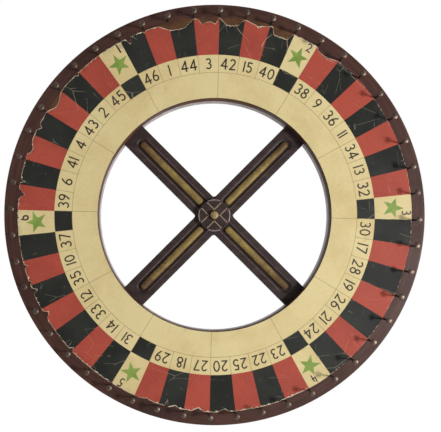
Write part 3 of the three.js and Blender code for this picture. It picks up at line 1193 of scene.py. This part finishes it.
# Pen-written figures beside the stars
penFigures = {
    "height": 16.5 * mm,
    "half": 0.068,
    "centre": (0.28, 0.5),
    "middle": 346.6 * mm,
    "proud": 0.06 * mm,
    "sunk": 0.05 * mm,
    "angles": [-30.1, 29.6, 89.4, 148.8, 209.2, 269.2],
    "tilts": [4.0, -6.0, 2.0, -4.0, 5.0, -3.0],
    "sizes": [1.0, 1.0, 1.0, 1.0, 1.0, 1.3],
}
penStrokes = [
    [[(0.34, 0.0), (0.22, 1.0)], [(0.38, 0.0), (0.27, 1.0)]],
    [arc(0.26, 0.72, 0.20, 0.24, 170, -50) + [(0.06, 0.10), (0.20, 0.16), (0.52, 0.02)]],
    [arc(0.22, 0.75, 0.17, 0.21, 140, -86) + arc(0.24, 0.28, 0.20, 0.25, 88, -140)],
    [[(0.14, 0.98), (0.06, 0.42), (0.50, 0.44)], [(0.36, 0.80), (0.34, 0.0)]],
    [[(0.48, 0.96), (0.14, 0.93), (0.10, 0.56)] + arc(0.22, 0.30, 0.20, 0.27, 100, -140)],
    [[(0.38, 1.0), (0.20, 0.72), (0.08, 0.40)] + arc(0.25, 0.25, 0.17, 0.21, 160, 480)],
]


def makePenFigures():
    look = penFigures
    shape = bmesh.new()
    for angle, tilt, size, strokes in zip(look["angles"], look["tilts"], look["sizes"], penStrokes):
        for stroke in strokes:
            part = strokeShape(stroke, look["half"], 0.0, 1.0)
            layOn(shape, part, look, angle, look["height"] * size, look["centre"], tilt)
    piece = fromBmesh("layoutPenFigures", shape, ["penInk"], 30.0)
    assign(piece, wheelBody, "layout_paper")


# Creases and cracks in the paper: runs of (angle, radius in mm), with a width in mm
creases = [
    (0.75, [(6.2, 349), (6.6, 343), (7.2, 338), (8.4, 332), (10.2, 324), (12.0, 315)]),
    (0.9, [(18.2, 344), (17.4, 340), (16.4, 332), (15.8, 322), (15.6, 313), (15.9, 306)]),
    (1.5, [(22.4, 348), (22.6, 341), (23.1, 334), (23.9, 328), (23.6, 322)]),
    (0.8, [(18.6, 344), (20.0, 343), (21.4, 343.5), (22.4, 343)]),
    (0.9, [(24.2, 292), (25.3, 288), (26.6, 286), (28.2, 288.5), (30.5, 287.5)]),
    (0.7, [(13.0, 252), (15.0, 257), (17.5, 255), (19.5, 250)]),
    (1.1, [(33.6, 349), (35.0, 346.5), (36.8, 348), (38.6, 350)]),
    (0.7, [(37.5, 353), (42.0, 352.5), (47.0, 353), (52.0, 352.4)]),
]


creaseLook = {
    "pieces": 6,  # in each run's step
    "jag": 0.35 * mm,
    "ridge": 0.25 * mm,
    "sunk": 0.05 * mm,
}


def makeCreases():
    look = creaseLook
    shape = bmesh.new()
    for width, run in creases:
        points = []
        for (startAngle, startRadius), (endAngle, endRadius) in zip(run, run[1:]):
            for step in range(look["pieces"]):
                share = step / look["pieces"]
                angle = startAngle + share * (endAngle - startAngle)
                radius = (startRadius + share * (endRadius - startRadius)) * mm
                points.append((angle, radius + look["jag"] * wave(angle, 6.0, 12)))
        points.append((run[-1][0], run[-1][1] * mm))
        spots = [onWheel(radius, angle, 0.0) for angle, radius in points]
        rows = []
        for index, (angle, radius) in enumerate(points):
            along = spots[min(len(spots) - 1, index + 1)] - spots[max(0, index - 1)]
            side = along.normalized().cross(Vector((0.0, 1.0, 0.0)))
            share = index / (len(points) - 1)
            taper = sin(pi * (0.08 + 0.84 * share))
            half = 0.5 * width * mm * taper * (1 + 0.5 * wave(angle, 9.0, 13))
            base = paperFront + liftAt(angle, radius)
            places = [(-half, base - look["sunk"]), (0.0, base + look["ridge"]), (half, base - look["sunk"])]
            row = [spots[index] + side * across + Vector((0, -depth, 0)) for across, depth in places]
            rows.append([shape.verts.new(spot) for spot in row])
        skin(shape, rows)
    piece = fromBmesh("layoutCreases", shape, ["tornPaper"], 60.0)
    assign(piece, wheelBody, "layout_paper")


# Spoke bars, half-lapped at the hub, with a stopped channel along each arm for its gold bead
spokes = {
    "edgeEase": 1.6 * mm,
    "lapFit": 0.3 * mm,
    "boreRadius": 7.8 * mm,
    "boreSides": 48,
    "channelInner": 34.0 * mm,  # centres of the channel's round ends
    "channelOuter": 184.6 * mm,
    "channelSteps": 14,
    # half width and height above the bar's face, from outside to the floor
    "channelProfile": [
        (12.6, 0.6), (12.0, 0.0), (11.4, -0.4), (10.6, -1.0), (9.6, -1.5), (8.2, -1.8), (6.6, -1.9),
    ],
    "sharp": 20.0,  # degrees, so that the flat face and the channel's lip don't blend
    "filletRadius": 4.5 * mm,
    "filletSteps": 6,
    "filletStep": 0.05 * mm,  # keeps the fillet's end off the lap's own cut
}


def makeBar(name, angle, lapBack, lapFront, node, filleted=False):
    look = spokes
    half = wheel["barWidth"] / 2
    back = wheel["backDepth"]
    front = wheel["barDepth"]
    corners = [
        (-half, back, look["edgeEase"]),
        (half, back, look["edgeEase"]),
        (half, front, look["edgeEase"]),
        (-half, front, look["edgeEase"]),
    ]
    section = eased(corners, 4)
    # distance from the hub and extra width on each side, with a fillet beside the crossing if asked for
    stations = [(wheel["barReach"], 0.0)]
    if filleted:
        radius = look["filletRadius"]
        for step in range(look["filletSteps"] + 1):
            turn = pi / 2 * step / look["filletSteps"]
            along = half + look["lapFit"] + look["filletStep"] + radius * (1 - sin(turn))
            stations.append((along, radius * (1 - cos(turn))))
        stations.append((half + look["lapFit"] / 2, 0.0))
    stations = stations + [(-along, extra) for along, extra in reversed(stations)]
    shape = bmesh.new()
    rows = []
    for along, extra in stations:
        row = []
        for point in section:
            across = point.x + copysign(extra, point.x)
            row.append(shape.verts.new(onArm(angle, along, across, point.y)))
        rows.append(row)
    skin(shape, rows)
    piece = fromBmesh(name, shape, ["spokePaint"])
    for side in (1, -1):
        combine(piece, channelCutter(angle, side))
    lapHalf = half + look["lapFit"]
    combine(piece, slab("lap", angle, lapHalf, lapHalf + mm, lapBack, lapFront))
    radius = look["boreRadius"]
    bore = [(0.0, back - mm), (radius, back - mm), (radius, front + mm), (0.0, front + mm)]
    combine(piece, fromBmesh("bore", turnedShape(bore, look["boreSides"])))
    settle(piece, look["sharp"])
    assign(piece, wheelBody, "spoke_paint", node)


def channelCutter(angle, side):
    look = spokes
    shape = bmesh.new()
    turns = [pi * step / look["channelSteps"] for step in range(look["channelSteps"] + 1)]
    rows = []
    for halfWidth, height in look["channelProfile"]:
        radius = halfWidth * mm
        depth = wheel["barDepth"] + height * mm
        loop = []
        for end, away in ((look["channelOuter"], radius), (look["channelInner"], -radius)):
            loop += [(side * (end + away * sin(turn)), away * cos(turn), depth) for turn in turns]
        rows.append([shape.verts.new(onArm(angle, *point)) for point in loop])
    skin(shape, rows)
    return fromBmesh("channel", shape)


# Gold beads: half-round strips with round ends, seated on the channel floor
beads = {
    "half": 6.2 * mm,
    "inner": 30.3 * mm,
    "outer": 189.8 * mm,
    "rise": 5.2 * mm,
    "floor": 1.8 * mm,  # below the bar's face
    "foot": 0.97,  # the foot's share of the width
    "fullness": 0.75,  # below 1 for a flatter crown and steeper sides
    "around": 16,
    "endSteps": 8,
    "endShare": 0.35,  # of a step, where a round end starts
    "stations": 40,
    "unevenness": 0.12 * mm,
}


def makeBead(name, angle):
    look = beads
    shape = bmesh.new()
    half = look["half"]
    floor = wheel["barDepth"] - look["floor"]
    turns = [pi / 2 * (step + look["endShare"]) / look["endSteps"] for step in range(look["endSteps"])]
    start = look["inner"] + half
    end = look["outer"] - half
    stations = [(start - half * cos(turn), sin(turn)) for turn in turns]
    for step in range(look["stations"] + 1):
        stations.append((start + (end - start) * step / look["stations"], 1.0))
    stations += [(end + half * cos(turn), sin(turn)) for turn in reversed(turns)]
    rows = []
    for along, share in stations:
        swell = look["unevenness"] * wave(along, 60.0, angle)
        places = []
        for step in range(look["around"] + 1):
            turn = pi * step / look["around"]
            rise = (look["rise"] * share + swell) * sin(turn) ** look["fullness"]
            places.append(((half * share + swell) * cos(turn), wheel["barDepth"] + rise))
        foot = half * share * look["foot"]
        places += [(-foot, floor), (foot, floor)]
        rows.append([shape.verts.new(onArm(angle, along, across, depth)) for across, depth in places])
    skin(shape, rows)
    piece = fromBmesh(name, shape, ["goldPaint"], 50.0)
    assign(piece, wheelBody, "gold_paint")


# Hub disc with four lined quadrants
hub = {
    "discRadius": 29.4 * mm,
    "discBack": 49.0 * mm,
    "discFront": 59.0 * mm,
    "discEase": 1.8 * mm,
    "bore": 7.8 * mm,
    "sides": 128,
    "lineHalf": 1.0 * mm,
    "lineProud": 0.12 * mm,
    "lineOffset": 7.3 * mm,  # from each spoke's axis
    "lineReach": 26.6 * mm,
    # in mm: the flange behind the bars, then the sleeve
    "bush": [
        (5.32, 26.7, 0.3), (16.0, 26.7, 0.7), (16.0, 29.7, 0.3),
        (7.5, 29.7, 0.2), (7.5, 59.5, 0.4), (5.32, 59.5, 0.3),
    ],
}


# A V in each quadrant, its sides parallel to the spokes, drawn for the top one and turned three times
def makeHubLines():
    look = hub
    offset = look["lineOffset"]
    reach = sqrt(look["lineReach"] ** 2 - offset**2)
    right = ((reach - offset) / sqrt(2.0), (reach + offset) / sqrt(2.0))
    path = [(-right[0], right[1]), (0.0, offset * sqrt(2.0)), right]
    shape = bmesh.new()
    for quarter in range(4):
        part = strokeShape(path, look["lineHalf"], -look["lineProud"], look["lineProud"])

        def placed(vertex):
            x, y, height = vertex.co
            return shape.verts.new(onArm(quarter * 90.0, y, x, look["discFront"] + height))

        copyInto(shape, part, placed)
    assign(fromBmesh("hubLines", shape, ["goldLine"], 30.0), wheelBody, "gold_paint")


def makeHub():
    look = hub
    corners = [
        (look["bore"], look["discBack"], 0.2 * mm),
        (look["discRadius"], look["discBack"], 0.4 * mm),
        (look["discRadius"], look["discFront"], look["discEase"]),
        (look["bore"], look["discFront"], 0.4 * mm),
    ]
    piece = turned("hubDisc", corners, look["sides"], "spokePaint", 6)
    assign(piece, wheelBody, "spoke_paint", "hub_disc")
    bush = turned("hubBush", scaled(look["bush"]), 96, "hubBrass", 3)
    assign(bush, wheelBody, "hub_brass", "hub_bush")


# Pieces that stay on the wall. Each profile is a list of (radius, depth, rounding) in mm.
fixedSizes = {
    # the plate's back and edge, the boss, then the socket for the spindle
    "plate": [
        (0.0, 0.0, 0), (34.0, 0.0, 0.4), (34.0, 6.0, 1.4), (15.0, 6.0, 1.6),
        (15.0, 12.0, 0.8), (6.32, 12.0, 0.3), (6.32, 3.0, 0.2), (0.0, 3.0, 0),
    ],
    "plateThickness": 6.0,
    "screwCircle": 24.0,
    "screwHole": [(0.0, -1.0), (2.5, -1.0), (2.5, 3.9), (4.6, 6.0), (4.6, 7.0), (0.0, 7.0)],
    # tail, collar, journal, then the thread for the cap
    "spindle": [
        (0.0, 3.3, 0), (6.0, 3.3, 0.4), (6.0, 12.3, 0), (10.0, 12.3, 0.5), (10.0, 24.1, 0.5),
        (5.0, 24.1, 0.3), (5.0, 59.9, 0.3), (4.0, 59.9, 0.1), (4.0, 64.8, 0.5), (0.0, 64.8, 0),
    ],
    "thrust": [(5.32, 24.4, 0.3), (13.0, 24.4, 0.5), (13.0, 26.4, 0.5), (5.32, 26.4, 0.3)],
    "front": [(4.32, 59.9, 0.1), (9.0, 59.9, 0.3), (9.0, 61.1, 0.4), (4.32, 61.1, 0.1)],
    # the cap's thread and skirt; its dome starts at the last point
    "cap": [(0.0, 65.1, 0), (4.32, 65.1, 0.1), (4.32, 61.1, 0.2), (7.5, 61.1, 0.5), (7.5, 63.6, 0)],
    "capDome": 5.0,
    "capSquareness": 0.7,  # below 1 for a flatter top and rounder shoulders
    "capSteps": 14,
}


def scaled(corners):
    return [(radius * mm, depth * mm, rounding * mm) for radius, depth, rounding in corners]


def makeFixedPieces():
    look = fixedSizes
    plate = turned("wallPlate", scaled(look["plate"]), 96, "blackIron", 4)
    for index in range(4):
        cutter = turnedShape([(radius * mm, depth * mm) for radius, depth in look["screwHole"]], 32)
        at = onWheel(look["screwCircle"] * mm, 45.0 + 90.0 * index, 0.0)
        bmesh.ops.translate(cutter, verts=cutter.verts, vec=at)
        combine(plate, fromBmesh("screwHole", cutter))
    assign(plate, mountBody, "black_iron", "wall_plate")
    radius, shoulder, _ = look["cap"][-1]
    dome = []
    for step in range(1, look["capSteps"]):
        turn = pi / 2 * step / look["capSteps"]
        out = cos(turn) ** look["capSquareness"]
        dome.append((radius * out, shoulder + look["capDome"] * sin(turn) ** look["capSquareness"], 0))
    dome.append((0.0, shoulder + look["capDome"], 0))
    for name, profile, coat, slot, node in (
        ("spindleRod", look["spindle"], "turnedSteel", "bare_steel", "spindle"),
        ("thrustWasher", look["thrust"], "washerLeather", "leather_washer", "thrust_washer"),
        ("frontWasher", look["front"], "blackIron", "black_iron", "front_washer"),
        ("capNut", look["cap"] + dome, "hubBrass", "hub_brass", "cap_nut"),
    ):
        assign(turned(name, scaled(profile), 64, coat, 3), mountBody, slot, node)


# Nails and screws are laid out on circles by one node tree
def circleTree(name, finish):
    tree = bpy.data.node_groups.new(name, "GeometryNodeTree")
    tree.is_modifier = True
    kinds = {"Shape": "Object", "Count": "Int", "Seed": "Int"}
    for label in ("Shape", "Count", "Circle radius", "First angle", "Depth", "Lean", "Spin", "Seed"):
        kind = "NodeSocket" + kinds.get(label, "Float")
        tree.interface.new_socket(label, in_out="INPUT", socket_type=kind)
    tree.interface.new_socket("Geometry", in_out="OUTPUT", socket_type="NodeSocketGeometry")
    given = add(tree, "NodeGroupInput").outputs
    index = add(tree, "GeometryNodeInputIndex").outputs[0]
    step = maths("DIVIDE", 2 * pi, given["Count"])
    turn = plus(given["First angle"], times(index, step))
    across = times(given["Circle radius"], maths("SINE", turn))
    up = times(given["Circle radius"], maths("COSINE", turn))
    depth = times(given["Depth"], -1.0)
    spot = add(tree, "ShaderNodeCombineXYZ", {"X": across, "Y": depth, "Z": up})
    points = add(tree, "GeometryNodePoints", {"Count": given["Count"], "Position": spot.outputs[0]})
    most = add(tree, "ShaderNodeCombineXYZ", {"X": given["Lean"], "Y": given["Spin"], "Z": given["Lean"]})
    least = add(tree, "ShaderNodeVectorMath", {0: (0.0, 0.0, 0.0), 1: most.outputs[0]}, operation="SUBTRACT")
    drawn = add(tree, "FunctionNodeRandomValue", data_type="FLOAT_VECTOR")
    feed(drawn, {0: least.outputs[0], 1: most.outputs[0], "Seed": given["Seed"]})
    source = add(tree, "GeometryNodeObjectInfo", {"Object": given["Shape"]}, transform_space="ORIGINAL")
    inputs = {
        "Points": points.outputs[0],
        "Instance": source.outputs["Geometry"],
        "Rotation": add(tree, "FunctionNodeEulerToRotation", {0: drawn.outputs[0]}).outputs[0],
    }
    copies = add(tree, "GeometryNodeInstanceOnPoints", inputs)
    real = add(tree, "GeometryNodeRealizeInstances", {"Geometry": copies.outputs[0]})
    painted = add(tree, "GeometryNodeSetMaterial", {"Geometry": real.outputs[0], "Material": finish})
    add(tree, "NodeGroupOutput", {"Geometry": painted.outputs[0]})
    return tree


def layOut(name, shape, coat, values):
    tree = circleTree(name + "Tree", finishes[coat])
    piece = linked(name, bpy.data.meshes.new(name))
    modifier = piece.modifiers.new("circle", "NODES")
    modifier.node_group = tree
    wanted = dict(values, Shape=shape)
    for item in tree.interface.items_tree:
        if item.in_out == "INPUT":
            modifier[item.identifier] = wanted[item.name]
    settle(piece, 40.0)
    bpy.data.objects.remove(shape)
    return piece


nails = {
    "circleRadius": 360.0 * mm,
    "proud": 29.9 * mm,
    "driven": 13.9 * mm,
    "shankRadius": 1.55 * mm,
    "headRadius": 5.4 * mm,
    "headHeight": 3.0 * mm,
    "point": 2.5 * mm,
    "neck": 0.4 * mm,
    "lip": 0.5 * mm,
    "brim": 0.55 * mm,
    "domeSteps": 10,
    "sides": 28,
    "squareness": 0.85,  # below 1 for a flatter top and rounder shoulders
    "lean": 1.3,  # degrees
    "seed": 8,
}


# One nail at the origin of its own place, its point towards the wall
def nailShape():
    look = nails
    top = look["proud"]
    under = top - look["headHeight"]
    radius = look["headRadius"]
    shank = look["shankRadius"]
    brim = under + look["brim"]
    profile = [(0.0, -look["driven"]), (shank, look["point"] - look["driven"])]
    profile += [(shank, under - look["neck"]), (shank + look["neck"], under)]
    profile += [(radius - look["lip"], under + look["lip"] / 10), (radius, brim - 0.15 * mm), (radius, brim)]
    for step in range(1, look["domeSteps"]):
        turn = pi / 2 * step / look["domeSteps"]
        out = cos(turn) ** look["squareness"]
        profile.append((radius * out, brim + (top - brim) * sin(turn) ** look["squareness"]))
    profile.append((0.0, top))
    return fromBmesh("nailShape", turnedShape(profile, look["sides"]), [], 40.0)


def makeNails():
    values = {
        "Count": wheel["segments"],
        "Circle radius": nails["circleRadius"],
        "First angle": radians(wheel["firstBoundary"]),
        "Depth": wheel["faceDepth"],
        "Lean": radians(nails["lean"]),
        "Spin": pi,
        "Seed": nails["seed"],
    }
    piece = layOut("rimNails", nailShape(), "nailBronze", values)
    names = ["nail_" + str(index + 1).zfill(2) for index in range(wheel["segments"])]
    assign(piece, wheelBody, "nail_bronze", *names)


# Slotted screws, sizes in mm. Facing is 1 for a head that looks away from the wall, or else -1.
screws = {
    "headSteps": 5,
    "sides": 24,
    "spokeEnd": {"head": 4.4, "rise": 0.7, "sink": 2.6, "shank": 2.1, "length": 15.0, "facing": -1},
    "flange": {"head": 2.0, "rise": 0.14, "sink": 1.2, "shank": 1.0, "length": 12.0, "facing": -1},
    "plate": {"head": 4.5, "rise": 1.5, "sink": 2.1, "shank": 2.3, "length": 5.8, "facing": 1},
    "slotLength": 2.4,  # shares of the head's radius
    "slotWidth": 0.22,
    # body, finish and slot of each kind
    "on": {
        "spokeEnd": (wheelBody, "blackIron", "black_iron"),
        "flange": (wheelBody, "hubBrass", "hub_brass"),
        "plate": (mountBody, "blackIron", "black_iron"),
    },
    # name, kind, circle radius, first angle, depth, seed
    "sets": [
        ("spokeScrewsInner", "spokeEnd", 236.0, 45.0, wheel["backDepth"] / mm, 236),
        ("spokeScrewsOuter", "spokeEnd", 302.0, 45.0, wheel["backDepth"] / mm, 302),
        ("flangeScrews", "flange", 12.6, 0.0, 26.7, 3),
        ("plateScrews", "plate", fixedSizes["screwCircle"], 45.0, fixedSizes["plateThickness"], 14),
    ],
}


def screwShape(size):
    head, rise, shank = size["head"], size["rise"], size["shank"]
    profile = [(0.0, -size["length"]), (shank, shank - size["length"]), (shank, -size["sink"]), (head, 0.0)]
    for step in range(1, screws["headSteps"]):
        turn = pi / 2 * step / screws["headSteps"]
        profile.append((head * cos(turn), rise * sin(turn)))
    profile.append((0.0, rise))
    profile = [(radius * mm, size["facing"] * depth * mm) for radius, depth in profile]
    screw = fromBmesh("screwShape", turnedShape(profile, screws["sides"]), [], 40.0)
    slot = bmesh.new()
    bmesh.ops.create_cube(slot, size=1.0)
    for vertex in slot.verts:
        vertex.co.x *= head * screws["slotLength"] * mm
        vertex.co.z *= head * screws["slotWidth"] * mm
        vertex.co.y = -size["facing"] * rise * (0.95 + vertex.co.y) * mm
    combine(screw, fromBmesh("slot", slot))
    return screw


def makeScrews():
    for name, kind, circle, first, depth, seed in screws["sets"]:
        body, coat, slot = screws["on"][kind]
        values = {"Count": 4, "Circle radius": circle * mm, "First angle": radians(first)}
        values.update({"Depth": depth * mm, "Lean": 0.0, "Spin": pi, "Seed": seed})
        assign(layOut(name, screwShape(screws[kind]), coat, values), body, slot)


def makeWorld():
    world = bpy.data.worlds.new("studio")
    bpy.context.scene.world = world
    world.use_nodes = True
    tree = world.node_tree
    tree.nodes.clear()
    white = (1.0, 1.0, 1.0, 1.0)
    seen = add(tree, "ShaderNodeBackground", {"Color": white, "Strength": studio["worldSeen"]})
    direction = add(tree, "ShaderNodeTexCoord").outputs["Generated"]
    parts = add(tree, "ShaderNodeSeparateXYZ", {0: direction}).outputs
    strength = spread(parts["Y"], -0.9, 0.3, studio["worldFront"], studio["worldBack"])
    sideways = spread(parts["X"], -0.7, 0.9, studio["worldLeft"], studio["worldRight"])
    strength = times(strength, sideways)
    light = add(tree, "ShaderNodeBackground", {"Color": white, "Strength": strength})
    direct = add(tree, "ShaderNodeLightPath").outputs["Is Camera Ray"]
    mix = add(tree, "ShaderNodeMixShader", {0: direct, 1: light.outputs[0], 2: seen.outputs[0]})
    add(tree, "ShaderNodeOutputWorld", {"Surface": mix.outputs[0]})


def makeStage():
    profile = [(0.0, 0.0), (studio["floorRadius"], 0.0), (studio["floorRadius"], 0.02), (0.0, 0.02)]
    shape = turnedShape(profile, studio["floorSides"])
    down = Matrix.Translation((0.0, 0.0, studio["floorHeight"])) @ Matrix.Rotation(radians(90.0), 4, "X")
    bmesh.ops.transform(shape, matrix=down, verts=shape.verts)
    fromBmesh("studioFloor", shape, ["studioFloor"])
    for kind in ("key", "side"):
        spot = Vector(studio[kind + "Direction"]).normalized() * studio[kind + "Distance"]
        makeLamp(kind + "Lamp", spot, studio[kind + "Size"], studio[kind + "Power"])
    makeLamp("fillLamp", studio["fillPlace"], studio["fillSize"], studio["fillPower"])
    bpy.context.scene.view_settings.view_transform = "Standard"
    bpy.context.scene.view_settings.look = "None"


makeCamera()
makeWorld()
makeStage()
print("camera and stage made")

makeRimBack()
makeRimFront()
print("rim made")

makeLayoutSheet()
makeNumbers()
makeStars()
makePenFigures()
makeCreases()
print("layout made")

lapMiddle = (wheel["backDepth"] + wheel["barDepth"]) / 2
lapFit = spokes["lapFit"]
makeBar("spokeFalling", -45.0, wheel["backDepth"] - mm, lapMiddle + lapFit / 2, "spoke_bar_falling", True)
makeBar("spokeRising", 45.0, lapMiddle - lapFit / 2, wheel["barDepth"] + mm, "spoke_bar_rising")
for turns, beadName in enumerate(("UpperRight", "LowerRight", "LowerLeft", "UpperLeft")):
    makeBead("bead" + beadName, 45.0 + 90.0 * turns)
makeHub()
makeHubLines()
print("spokes and hub made")

makeFixedPieces()
makeNails()
makeScrews()
print("spindle, nails and screws made")

bpy.context.view_layer.update()
